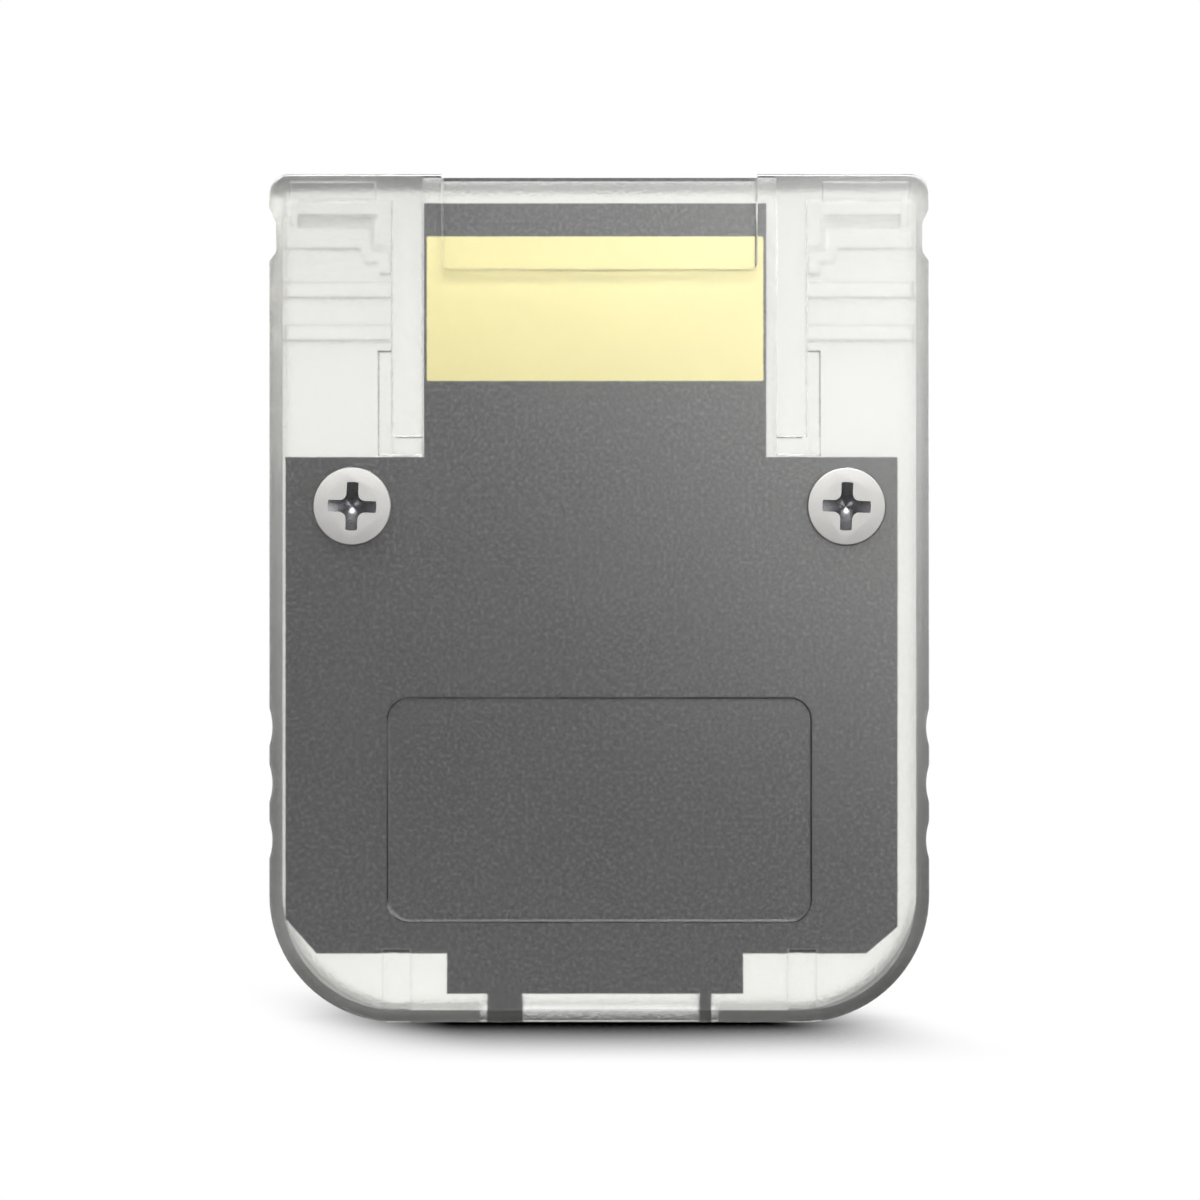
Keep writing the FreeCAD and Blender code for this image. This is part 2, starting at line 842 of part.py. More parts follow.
def eject_slider():
    """Slider with a tab for the card, a heart-shaped cam track and a slot for the spring."""
    left = channel_left + slide_gap
    right = left + slider_width
    deck_end = track_start + track_length + track_margin
    nose = block((left, right), (slider_low, track_deck), (slider_start, deck_end))
    tail = block((left, right), (slider_low, slider_high), (deck_end, slider_end))
    tab_y = (floor_top + slider_tab_gap, slider_high - slider_tab_gap)
    tab_x = (right - slide_gap, guide_left + slider_tab_reach)
    tab = block(tab_x, tab_y, (slider_end - slider_tab_length, slider_end))
    loop_centre = wire_x + track_width / 2 + heart_width / 2
    loop_width = heart_width + 2 * track_width
    loop = panel(loop_centre, loop_width, track_start, track_start + track_length, track_corner_radius)
    heart_left = wire_x + track_width / 2
    heart_low = slider_start + heart_from_nose
    heart = [
        (heart_left, heart_low, 0),
        (heart_left + heart_width / 2, heart_low + heart_cup, 0),
        (heart_left + heart_width, heart_low, 0),
        (heart_left + heart_width, heart_low + heart_length - heart_slope, 0),
        (heart_left, heart_low + heart_length, 0),
    ]
    track = prism(loop, "xz", track_floor, track_deck).cut(prism(heart, "xz", track_floor, track_deck))
    slot_half = spring_diameter / 2 + spring_slot_clearance
    slot_x = (channel_centre - slot_half, channel_centre + slot_half)
    slot_y = (slider_low, spring_level + slot_half)
    slot = block(slot_x, slot_y, (spring_slot_start, slider_end))
    return nose.fuse([tail, tab]).removeSplitter().cut([track, slot])


def wire_section(centre, diameter):
    """Section of a thin wire, drawn with a few flats, across the Y direction."""
    points = []
    for side in range(wire_sides + 1):
        angle = math.radians(360 * side / wire_sides)
        points.append(centre + V(math.cos(angle), 0, math.sin(angle)) * (diameter / 2))
    return Part.makePolygon(points)


def cam_pin():
    """Wire staple: one leg in its pivot hole, the other in the cam track."""
    foot = track_floor + track_gap
    pivot_foot = V(wire_x, foot, wire_pivot)
    tip_foot = V(wire_x, foot, wire_tip)
    first = V(wire_x, wire_level - wire_bend, wire_pivot)
    last = V(wire_x, wire_level - wire_bend, wire_tip)
    lean = wire_bend * (1 - math.sqrt(0.5))
    run_start = V(wire_x, wire_level, wire_pivot + wire_bend)
    run_end = V(wire_x, wire_level, wire_tip - wire_bend)
    path = Part.Wire([
        Part.makeLine(pivot_foot, first),
        Part.Arc(first, V(wire_x, wire_level - lean, wire_pivot + lean), run_start).toShape(),
        Part.makeLine(run_start, run_end),
        Part.Arc(run_end, V(wire_x, wire_level - lean, wire_tip - lean), last).toShape(),
        Part.makeLine(last, tip_foot),
    ])
    return path.makePipeShell([wire_section(pivot_foot, wire_diameter)], True, False)


def eject_spring():
    """Compression coil between the slot in the slider and the back wall of the socket."""
    coil_radius = (spring_diameter - spring_wire) / 2
    low = spring_slot_start + spring_gap + spring_wire / 2
    height = card_stop - spring_gap - spring_wire / 2 - low
    helix = Part.makeHelix(height / spring_turns, height, coil_radius)
    section = wire_section(V(coil_radius, 0, 0), spring_wire)
    spring = Part.Wire(helix).makePipeShell([section], True, True)
    spring.translate(V(channel_centre, spring_level, low))
    return spring


def chip(x, z, length, width, thickness):
    """Chip part lying across the board: a ceramic body with slightly larger metal ends."""
    step = chip_cap_step
    middle = block(
        (x - length / 2 + chip_cap / 2, x + length / 2 - chip_cap / 2),
        (board_front + step, board_front + thickness - step),
        (z - width / 2 + step, z + width / 2 - step),
    )
    ends = []
    for low in (x - length / 2, x + length / 2 - chip_cap):
        y = (board_front, board_front + thickness)
        ends.append(block((low, low + chip_cap), y, (z - width / 2, z + width / 2)))
    return middle.fuse(ends).removeSplitter()


def chips():
    row = socket_length + chip_row_height
    bulk_x = card_centre + chip_row_spacing
    parts = {
        "bulk_capacitor": chip(bulk_x, row, capacitor_length, capacitor_width, capacitor_thickness),
        "bypass_capacitor": chip(card_centre, row, bypass_length, bypass_width, bypass_thickness),
    }
    for index in range(resistor_count):
        x = card_centre - (index + 1) * chip_row_spacing
        name = "pull_up_resistor_%d" % (index + 1)
        parts[name] = chip(x, row, resistor_length, resistor_width, resistor_thickness)
    return parts


def all_parts():
    parts = {
        "rear_shell": rear_shell(),
        "front_shell": front_shell(),
        "circuit_board": circuit_board(),
        "shield_pad": shield_pad(),
        "edge_contacts": edge_contacts(),
        "case_screws": case_screws(),
        "socket_base": socket_base(),
        "socket_cover": socket_cover(),
        "eject_slider": eject_slider(),
        "cam_pin": cam_pin(),
        "eject_spring": eject_spring(),
    }
    for index, x in enumerate(contact_places()):
        parts["socket_contact_%d" % (index + 1)] = socket_contact(x)
    parts.update(chips())
    return parts


os.makedirs("parts", exist_ok=True)
for name, shape in all_parts().items():
    print(name, "solids", len(shape.Solids), "volume %.3f" % shape.Volume, "valid", shape.isValid())
    shape.exportStep("parts/%s.step" % name)
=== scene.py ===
import bpy
import json
import math
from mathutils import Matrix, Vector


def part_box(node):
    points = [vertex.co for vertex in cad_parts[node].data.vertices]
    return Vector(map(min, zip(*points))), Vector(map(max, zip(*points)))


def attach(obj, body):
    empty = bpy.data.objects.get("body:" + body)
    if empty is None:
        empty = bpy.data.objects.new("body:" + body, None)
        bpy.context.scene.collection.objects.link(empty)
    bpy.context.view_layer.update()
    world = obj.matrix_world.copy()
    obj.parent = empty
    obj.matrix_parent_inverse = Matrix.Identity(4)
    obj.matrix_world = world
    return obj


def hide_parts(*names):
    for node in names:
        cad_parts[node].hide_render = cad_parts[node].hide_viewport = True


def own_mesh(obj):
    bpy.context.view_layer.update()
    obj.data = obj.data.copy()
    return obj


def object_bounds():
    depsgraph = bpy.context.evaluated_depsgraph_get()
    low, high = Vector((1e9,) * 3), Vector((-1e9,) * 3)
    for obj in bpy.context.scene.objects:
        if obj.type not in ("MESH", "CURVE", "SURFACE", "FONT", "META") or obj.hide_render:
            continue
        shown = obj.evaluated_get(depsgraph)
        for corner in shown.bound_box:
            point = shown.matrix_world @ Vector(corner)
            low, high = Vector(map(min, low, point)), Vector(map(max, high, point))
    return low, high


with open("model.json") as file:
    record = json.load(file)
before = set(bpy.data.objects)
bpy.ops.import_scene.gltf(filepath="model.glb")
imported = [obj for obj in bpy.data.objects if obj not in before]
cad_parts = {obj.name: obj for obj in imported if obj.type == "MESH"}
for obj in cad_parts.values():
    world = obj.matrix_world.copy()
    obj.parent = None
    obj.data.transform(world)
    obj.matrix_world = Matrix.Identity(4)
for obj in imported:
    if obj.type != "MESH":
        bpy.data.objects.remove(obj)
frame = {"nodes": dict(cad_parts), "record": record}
cadLow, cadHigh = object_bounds()
nodes = frame["nodes"]
mm = 0.001
upright = (math.pi / 2, 0, 0)  # stands a flat primitive up, parallel to the rear face
touch = 0.01 * mm  # what is nearer than this counts as the same place
smoothAngle = math.radians(35)  # edges that turn more than this stay crisp
noiseSpan = (0.3, 0.7)  # nearly all values of a noise texture lie in here
noiseDetail = 2.0  # finer layers in each grain
print("frame loaded:", len(nodes), "nodes")


def linear(code):  # sRGB hex to linear colour
    parts = [int(code[i:i + 2], 16) / 255 for i in (1, 3, 5)]
    curve = [c / 12.92 if c <= 0.04045 else ((c + 0.055) / 1.055) ** 2.4 for c in parts]
    return (*curve, 1.0)


def addNode(tree, kind, inputs=None, **settings):  # one node, its settings and what feeds it
    node = tree.nodes.new(kind)
    for name, value in settings.items():
        setattr(node, name, value)
    for name, value in (inputs or {}).items():
        if isinstance(value, bpy.types.Node):
            value = value.outputs[0]
        if isinstance(value, bpy.types.NodeSocket):
            tree.links.new(value, node.inputs[name])
        else:
            node.inputs[name].default_value = value
    return node


def newMaterial(name):  # an empty material, its node tree and the piece's own coordinates in it
    material = bpy.data.materials.new(name)
    material.use_nodes = True
    tree = material.node_tree
    tree.nodes.clear()
    return material, tree, addNode(tree, "ShaderNodeTexCoord").outputs["Object"]


def grain(size):  # texture scale that gives features of this size in millimetres
    return 1 / (size * mm)


# Shells: polycarbonate, injection moulded in a spark-eroded mould. It is clear, but its grain frosts what
# lies behind it and gives it a hazy gloss. The grain is drawn coarser than the real one, so that it shows
shellFinish = {
    "rear": {
        "colour": "#FCFCFA", "clear": 1.0, "cloudy": 0.985, "roughness": 0.2, "depth": 0.012 * mm,
        "seat": (15.6 * mm, 15.0 * mm, 8.6 * mm),  # half width, middle and half height round the label seat, whose steep sides get painted shade
    },
    "front": {
        "colour": "#FAFAF7", "clear": 0.97, "cloudy": 0.93, "roughness": 0.22, "depth": 0.006 * mm,
        "seat": (18.6 * mm, 25.0 * mm, 13.6 * mm),
    },
}
shellGrain = {
    "size": 0.28, "flow": 9.0, "flowDetail": 1.0, "vary": 0.1,  # flow: slow drift of the gloss, in mm
    "ior": 1.58, "gloss": 0.1, "matt": 0.25, "tint": "#3C3C20", "smoke": 2,
}
paintedShadeLook = {"steep": (0.88, 0.72), "colour": "#202020"}  # painted shade on the label seat's steep sides and on the rim, in this colour; steep: how much a face still points outwards
# painted shade along the rim of the walls: corner radius, rim width, heights between which it grows, strength
# at the left and right
paintedRimShadeSizes = {"corner": 10 * mm, "wide": 0.8 * mm, "low": 2 * mm, "high": 40 * mm, "left": 0.3, "right": 0.48}


def seatPaintedShade(tree, spot, seat):  # painted shade on the steep sides of the label seat, 1 where it is full
    half, middle, halfHeight = seat
    face = addNode(tree, "ShaderNodeNewGeometry").outputs["True Normal"]
    lean = addNode(tree, "ShaderNodeMath", {
        0: addNode(tree, "ShaderNodeSeparateXYZ", {"Vector": face}).outputs["Y"],
    }, operation="ABSOLUTE")
    steep = addNode(tree, "ShaderNodeMapRange", {
        "Value": lean, "From Min": paintedShadeLook["steep"][0], "From Max": paintedShadeLook["steep"][1],
    })
    across = addNode(tree, "ShaderNodeMath", {0: spot.outputs["X"], 1: 0.0, 2: half}, operation="COMPARE")
    along = addNode(tree, "ShaderNodeMath", {
        0: spot.outputs["Z"], 1: middle, 2: halfHeight,
    }, operation="COMPARE")
    inSeat = addNode(tree, "ShaderNodeMath", {0: across, 1: along}, operation="MULTIPLY")
    return addNode(tree, "ShaderNodeMath", {0: inSeat, 1: steep}, operation="MULTIPLY")


def rimPaintedShade(tree, spot):  # painted shade on the rim along the walls, stronger towards the grip end, most of all on the right
    r = paintedRimShadeSizes
    half = cadHigh.x
    aside = addNode(tree, "ShaderNodeMath", {0: spot.outputs["X"]}, operation="ABSOLUTE")
    out = addNode(tree, "ShaderNodeMath", {0: aside, 1: half - r["corner"]}, operation="SUBTRACT")
    down = addNode(tree, "ShaderNodeMath", {0: r["corner"], 1: spot.outputs["Z"]}, operation="SUBTRACT")
    corner = addNode(tree, "ShaderNodeCombineXYZ", {
        "X": addNode(tree, "ShaderNodeMath", {0: out, 1: 0.0}, operation="MAXIMUM"),
        "Y": addNode(tree, "ShaderNodeMath", {0: down, 1: 0.0}, operation="MAXIMUM"),
    })
    away = addNode(tree, "ShaderNodeVectorMath", {0: corner}, operation="LENGTH").outputs["Value"]
    rim = addNode(tree, "ShaderNodeMath", {0: away, 1: r["corner"] - r["wide"]}, operation="GREATER_THAN")
    most = addNode(tree, "ShaderNodeMapRange", {
        "Value": spot.outputs["X"], "From Min": -half, "From Max": half,
        "To Min": r["left"], "To Max": r["right"],
    })
    deeper = addNode(tree, "ShaderNodeMapRange", {
        "Value": spot.outputs["Z"], "From Min": r["high"], "From Max": r["low"], "To Max": most,
    })
    return addNode(tree, "ShaderNodeMath", {0: rim, 1: deeper}, operation="MULTIPLY")


def frostedPolycarbonate(side):
    f = shellFinish[side]
    g = shellGrain
    material, tree, place = newMaterial("frostedPolycarbonate_" + side)
    speck = addNode(tree, "ShaderNodeTexNoise", {
        "Vector": place, "Scale": grain(g["size"]), "Detail": noiseDetail,
    })
    haze = addNode(tree, "ShaderNodeMapRange", {
        "Value": speck, "From Min": noiseSpan[0], "From Max": noiseSpan[1],
        "To Min": f["cloudy"], "To Max": f["clear"],
    })
    flow = addNode(tree, "ShaderNodeTexNoise", {
        "Vector": place, "Scale": grain(g["flow"]), "Detail": g["flowDetail"],
    })
    rough = addNode(tree, "ShaderNodeMapRange", {
        "Value": flow, "From Min": noiseSpan[0], "From Max": noiseSpan[1],
        "To Min": f["roughness"] * (1 - g["vary"]), "To Max": f["roughness"] * (1 + g["vary"]),
    })
    bump = addNode(tree, "ShaderNodeBump", {"Height": speck, "Distance": f["depth"]})
    spot = addNode(tree, "ShaderNodeSeparateXYZ", {"Vector": place})
    # painted shade on the label seat's steep sides and on the rim darkens the base colour
    dark = addNode(tree, "ShaderNodeMath", {
        0: seatPaintedShade(tree, spot, f["seat"]), 1: rimPaintedShade(tree, spot),
    }, operation="MAXIMUM")
    colour = addNode(tree, "ShaderNodeMix", {
        0: dark, "A": linear(f["colour"]), "B": linear(paintedShadeLook["colour"]),
    }, data_type="RGBA")
    shader = addNode(tree, "ShaderNodeBsdfPrincipled", {
        "Base Color": colour.outputs["Result"], "IOR": g["ior"], "Roughness": rough,
        "Transmission Weight": haze, "Normal": bump, "Specular IOR Level": g["gloss"],
        "Coat Weight": 1.0, "Coat Roughness": g["matt"], "Coat IOR": g["ior"],
    })
    smoke = addNode(tree, "ShaderNodeVolumeAbsorption", {"Color": linear(g["tint"]), "Density": g["smoke"]})
    addNode(tree, "ShaderNodeOutputMaterial", {"Surface": shader, "Volume": smoke})
    return material


# Board: glass-fibre laminate under printed black solder mask, a dull dark face with pale specks
# and a faint orange peel. The specks are drawn coarser than real ones, so that they show
boardFinish = {
    "mask": "#030303", "maskPale": "#666668", "ramp": (0.48, 0.72), "grain": 0.24,
    "roughness": 0.5, "ior": 1.5, "gloss": 0.25, "peel": 0.9, "peelBump": 0.2, "peelDepth": 0.01 * mm,
}


def solderMask():
    f = boardFinish
    material, tree, place = newMaterial("solderMask")
    speck = addNode(tree, "ShaderNodeTexNoise", {
        "Vector": place, "Scale": grain(f["grain"]), "Detail": noiseDetail,
    })
    colour = addNode(tree, "ShaderNodeValToRGB", {"Fac": speck})
    for stop, position, code in zip(colour.color_ramp.elements, f["ramp"], (f["mask"], f["maskPale"])):
        stop.position = position
        stop.color = linear(code)
    peel = addNode(tree, "ShaderNodeTexNoise", {"Vector": place, "Scale": grain(f["peel"])})
    bump = addNode(tree, "ShaderNodeBump", {
        "Height": peel, "Strength": f["peelBump"], "Distance": f["peelDepth"],
    })
    shader = addNode(tree, "ShaderNodeBsdfPrincipled", {
        "Base Color": colour, "Roughness": f["roughness"], "IOR": f["ior"], "Specular IOR Level": f["gloss"],
        "Normal": bump,
    })
    addNode(tree, "ShaderNodeOutputMaterial", {"Surface": shader})
    return material


# Pad and fingers: thin gold over nickel, electroplated, a pale yellow with a soft gloss
goldFinish = {
    "colour": "#FFF5B4", "roughness": 0.55, "vary": 0.15, "grain": 0.2, "bump": 0.15, "depth": 0.01 * mm,
}


def platedGold():
    f = goldFinish
    material, tree, place = newMaterial("platedGold")
    speck = addNode(tree, "ShaderNodeTexNoise", {
        "Vector": place, "Scale": grain(f["grain"]), "Detail": noiseDetail,
    })
    rough = addNode(tree, "ShaderNodeMapRange", {
        "Value": speck,
        "To Min": f["roughness"] * (1 - f["vary"]), "To Max": f["roughness"] * (1 + f["vary"]),
    })
    bump = addNode(tree, "ShaderNodeBump", {"Height": speck, "Strength": f["bump"], "Distance": f["depth"]})
    shader = addNode(tree, "ShaderNodeBsdfPrincipled", {
        "Base Color": linear(f["colour"]), "Metallic": 1.0, "Roughness": rough, "Normal": bump,
    })
    addNode(tree, "ShaderNodeOutputMaterial", {"Surface": shader})
    return material


# Other metals and plastics: an even colour, and a gloss that a fine grain varies a little.
# Each row: colour, roughness, metal or not, grain in mm, share by which the roughness varies
plainFinish = {
    "nickelSteel": ("#B0AFAD", 0.6, 1.0, 0.12, 0.2),  # screws: turned and plated, a dull grey sheen
    "burnishedSteelPaintedShade": ("#8E8E90", 0.3, 1.0, 0.15, 0.3),  # recess walls: pressed smooth by the punch, glossier; their darker colour is painted shade in the recess
    "mouldedBlack": ("#0C0C0C", 0.45, 0.0, 0.15, 0.15),  # socket base: filled nylon, moulded, satin black
    "stainlessSheet": ("#C9C8C4", 0.32, 1.0, 0.15, 0.15),  # cover, pin, spring: cold rolled, bright grey
    "platedSpringAlloy": ("#F0D48A", 0.3, 1.0, 0.15, 0.15),  # contacts: gold-plated bronze, warm gloss
    "naturalAcetal": ("#E4E1D6", 0.4, 0.0, 0.15, 0.15),  # slider: moulded undyed, waxy off-white
    "tinSolder": ("#C6C7C8", 0.35, 1.0, 0.15, 0.15),  # joints: melted tin, bright with soft highlights
    "maskOverCopper": ("#2E2E2B", 0.42, 0.0, 0.15, 0.15),  # traces: mask over copper, paler than the board
}


def plainMaterial(name):
    colour, roughness, metal, size, vary = plainFinish[name]
    material, tree, place = newMaterial(name)
    speck = addNode(tree, "ShaderNodeTexNoise", {
        "Vector": place, "Scale": grain(size), "Detail": noiseDetail,
    })
    rough = addNode(tree, "ShaderNodeMapRange", {
        "Value": speck, "To Min": roughness * (1 - vary), "To Max": roughness * (1 + vary),
    })
    shader = addNode(tree, "ShaderNodeBsdfPrincipled", {
        "Base Color": linear(colour), "Metallic": metal, "Roughness": rough,
    })
    addNode(tree, "ShaderNodeOutputMaterial", {"Surface": shader})
    return material


# Chip parts: sintered ceramic in a row of equal spacing, dull tan or glossy black, with bright tinned ends
chipFinish = {
    "tanCeramic": {"colour": "#A98F6C", "roughness": 0.5, "plain": 0.7 * mm},  # plain: half the bare width
    "glazedBlackCeramic": {"colour": "#17171A", "roughness": 0.3, "plain": 0.5 * mm},
}
chipRow = {"first": -11.98 * mm, "spacing": 3.2 * mm, "tin": "#C6C7C8", "grain": 0.1, "vary": 0.15}


def chipCeramic(name):
    f = chipFinish[name]
    c = chipRow
    material, tree, place = newMaterial(name)
    across = addNode(tree, "ShaderNodeSeparateXYZ", {"Vector": place}).outputs["X"]
    fromFirst = addNode(tree, "ShaderNodeMath", {0: across, 1: c["first"]}, operation="SUBTRACT")
    fromMiddle = addNode(tree, "ShaderNodeMath", {
        0: fromFirst, 1: c["spacing"] / 2, 2: -c["spacing"] / 2,
    }, operation="WRAP")
    aside = addNode(tree, "ShaderNodeMath", {0: fromMiddle}, operation="ABSOLUTE")
    tinned = addNode(tree, "ShaderNodeMath", {0: aside, 1: f["plain"]}, operation="GREATER_THAN")
    colour = addNode(tree, "ShaderNodeMix", {
        0: tinned, "A": linear(f["colour"]), "B": linear(c["tin"]),
    }, data_type="RGBA")
    speck = addNode(tree, "ShaderNodeTexNoise", {
        "Vector": place, "Scale": grain(c["grain"]), "Detail": noiseDetail,
    })
    rough = addNode(tree, "ShaderNodeMapRange", {
        "Value": speck,
        "To Min": f["roughness"] * (1 - c["vary"]), "To Max": f["roughness"] * (1 + c["vary"]),
    })
    shader = addNode(tree, "ShaderNodeBsdfPrincipled", {
        "Base Color": colour.outputs["Result"], "Metallic": tinned, "Roughness": rough,
    })
    addNode(tree, "ShaderNodeOutputMaterial", {"Surface": shader})
    return material


slotMaterial = {
    "shell_plastic": frostedPolycarbonate("rear"),
    "board_laminate": solderMask(),
    "gold_plating": platedGold(),
    "screw_steel": plainMaterial("nickelSteel"),
    "socket_plastic": plainMaterial("mouldedBlack"),
    "cover_steel": plainMaterial("stainlessSheet"),
    "contact_alloy": plainMaterial("platedSpringAlloy"),
    "slider_plastic": plainMaterial("naturalAcetal"),
    "capacitor_ceramic": chipCeramic("tanCeramic"),
    "resistor_ceramic": chipCeramic("glazedBlackCeramic"),
}
for part in frame["record"]["subparts"]:
    mesh = nodes[part["node"]].data
    mesh.materials.clear()
    mesh.materials.append(slotMaterial[part["material_slot"]])
nodes["front_shell"].data.materials[0] = frostedPolycarbonate("front")
print("finishes on the CAD nodes")


def alone(piece):  # selects this piece only and makes it the active one
    bpy.ops.object.select_all(action="DESELECT")
    piece.select_set(True)
    bpy.context.view_layer.objects.active = piece


def settled():  # puts the active piece's place, turn and size into its mesh
    bpy.ops.object.transform_apply(location=True, rotation=True, scale=True)
    return bpy.context.object


def pick(test):  # selects the active piece's vertices whose place passes the test
    bpy.ops.mesh.select_all(action="DESELECT")
    bpy.ops.object.mode_set(mode="OBJECT")
    for v in bpy.context.object.data.vertices:
        v.select = test(v.co)
    bpy.ops.object.mode_set(mode="EDIT")


def applied(piece, kind, **settings):  # adds a modifier to the piece and applies it
    bpy.context.view_layer.objects.active = piece
    modifier = piece.modifiers.new(kind, kind)
    for name, value in settings.items():
        setattr(modifier, name, value)
    bpy.ops.object.modifier_apply(modifier=modifier.name)


def finishPiece(piece, name, material=None):  # outward normals, smooth shading, name, finish and body
    alone(piece)
    bpy.ops.object.mode_set(mode="EDIT")
    bpy.ops.mesh.select_all(action="SELECT")
    bpy.ops.mesh.normals_make_consistent(inside=False)
    bpy.ops.object.mode_set(mode="OBJECT")
    settled()
    bpy.ops.object.shade_smooth_by_angle(angle=smoothAngle)
    piece.name = name
    if material:
        piece.data.materials.clear()
        piece.data.materials.append(material)
    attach(piece, "case")


def merged(pieces):  # joins pieces into the first one
    bpy.ops.object.select_all(action="DESELECT")
    for piece in pieces:
        piece.select_set(True)
    bpy.context.view_layer.objects.active = pieces[0]
    bpy.ops.object.join()
    return pieces[0]


def tapeRun(start, width, steps):  # flat strip on the board's front face that follows the steps
    bpy.ops.object.select_all(action="DESELECT")
    bpy.ops.mesh.primitive_plane_add(size=width, location=start, rotation=upright)
    strip = settled()
    bpy.ops.object.mode_set(mode="EDIT")
    pick(lambda p: p.z > start[2] + width / 4)
    for across, up in steps:
        bpy.ops.mesh.extrude_region_move(TRANSFORM_OT_translate={"value": (across, 0, up)})
    bpy.ops.object.mode_set(mode="OBJECT")
    return strip


def coil(centre, radius, wire, pitch, turns, axis):  # closed coil wound from a flat section round Y or Z
    middle = (0, 0, 0)
    bpy.ops.object.select_all(action="DESELECT")
    bpy.ops.mesh.primitive_circle_add(vertices=wire["points"], radius=wire["size"])
    wound = bpy.context.object
    bpy.ops.object.mode_set(mode="EDIT")
    bpy.ops.mesh.select_all(action="SELECT")
    turnAxis = "X" if axis == "Z" else "Z"
    bpy.ops.transform.rotate(value=math.pi / 2, orient_axis=turnAxis, center_override=middle)
    bpy.ops.transform.resize(value=(1, wire["stretch"], 1), center_override=middle)
    bpy.ops.transform.translate(value=(radius, 0, 0))
    bpy.ops.object.mode_set(mode="OBJECT")
    applied(wound, "SCREW", axis=axis, screw_offset=pitch, iterations=turns,
            steps=wire["steps"], render_steps=wire["steps"])
    bpy.ops.object.mode_set(mode="EDIT")
    bpy.ops.mesh.select_all(action="SELECT")
    bpy.ops.mesh.fill_holes(sides=wire["points"])
    bpy.ops.object.mode_set(mode="OBJECT")
    wound.location = centre
    return settled()


# Case screws: countersunk, self-tapping, with a cross recess; root of the thread inside the CAD shank
screwSizes = {
    "x": 17.5 * mm, "z": 36.5 * mm, "level": -3.95 * mm,
    "head": 2.75 * mm, "facets": 64, "rim": 0.09 * mm, "rimSteps": 4,
    "profile": [(2.75, 0.25), (1.3, 1.7), (1.06, 1.86), (1.06, 5.1), (0.12, 6.0)],  # radius, depth in mm
    "pitch": 0.9 * mm, "turns": 3, "threadFrom": 2.05 * mm, "threadRoot": 1.12 * mm,
    "thread": {"points": 3, "size": 0.17 * mm, "stretch": 1.15, "steps": 48},
}
crossSizes = {
    "over": 0.1 * mm, "span": 1.725 * mm, "arm": 0.415 * mm, "corner": 0.5 * mm, "cornerSteps": 5,
    "depth": 1.15 * mm, "draft": 0.94, "core": 0.35, "coreFacets": 48,  # core: cone that ends the four arms
    "pit": 0.3 * mm, "pitTip": 0.1, "turn": math.radians(2),
    "flat": 0.01,  # faces that turn less than this are one face
}


def crossCutter(x, z, level):
    c = crossSizes
    top = level - c["over"]
    floorLevel = level + c["depth"]
    third = c["span"] / 3
    middle = (x, top, z)
    bpy.ops.object.select_all(action="DESELECT")
    bpy.ops.mesh.primitive_grid_add(
        x_subdivisions=3, y_subdivisions=3, size=2 * c["span"], location=middle, rotation=upright)
    cutter = settled()
    # the grid's corners go, which leaves a cross with rounded inner corners
    bpy.ops.object.mode_set(mode="EDIT")
    pick(lambda p: abs(p.x - x) < 1.5 * third)
    bpy.ops.transform.resize(value=(c["arm"] / third, 1, 1), center_override=middle)
    pick(lambda p: abs(p.z - z) < 1.5 * third)
    bpy.ops.transform.resize(value=(1, 1, c["arm"] / third), center_override=middle)
    pick(lambda p: min(abs(p.x - x), abs(p.z - z)) > 2 * third)
    bpy.ops.mesh.delete(type="VERT")
    bpy.ops.mesh.select_all(action="SELECT")
    bpy.ops.mesh.dissolve_limited(angle_limit=c["flat"])
    pick(lambda p: max(abs(p.x - x), abs(p.z - z)) < 2 * third)
    bpy.ops.mesh.bevel(offset=c["corner"], segments=c["cornerSteps"], affect="VERTICES")
    bpy.ops.mesh.select_all(action="SELECT")
    bpy.ops.mesh.extrude_region_move(TRANSFORM_OT_translate={"value": (0, floorLevel - top, 0)})
    bpy.ops.transform.resize(value=(c["draft"], 1, c["draft"]), center_override=middle)
    bpy.ops.mesh.select_all(action="SELECT")
    bpy.ops.mesh.normals_make_consistent(inside=False)
    bpy.ops.object.mode_set(mode="OBJECT")
    # a cone slopes the arms' ends
    over = (level - top) / c["depth"]
    deep = c["depth"] * (1 + over)
    wide = c["span"] * (1 + (1 - c["core"]) * over)
    bpy.ops.mesh.primitive_cone_add(
        vertices=c["coreFacets"], radius1=wide, radius2=c["span"] * c["core"], depth=deep,
        location=(x, top + deep / 2, z), rotation=(-math.pi / 2, 0, 0))
    cone = settled()
    applied(cutter, "BOOLEAN", operation="INTERSECT", object=cone, solver="EXACT")
    bpy.data.objects.remove(cone)
    # pit in the middle of the floor
    alone(cutter)
    bpy.ops.object.mode_set(mode="EDIT")
    pick(lambda p: p.y > floorLevel - touch)
    bpy.ops.mesh.extrude_region_move(TRANSFORM_OT_translate={"value": (0, c["pit"], 0)})
    bpy.ops.transform.resize(
        value=(c["pitTip"], 1, c["pitTip"]), center_override=(x, floorLevel + c["pit"], z))
    bpy.ops.object.mode_set(mode="OBJECT")
    bpy.ops.transform.rotate(value=-c["turn"], orient_axis="Y", center_override=middle)
    return settled()


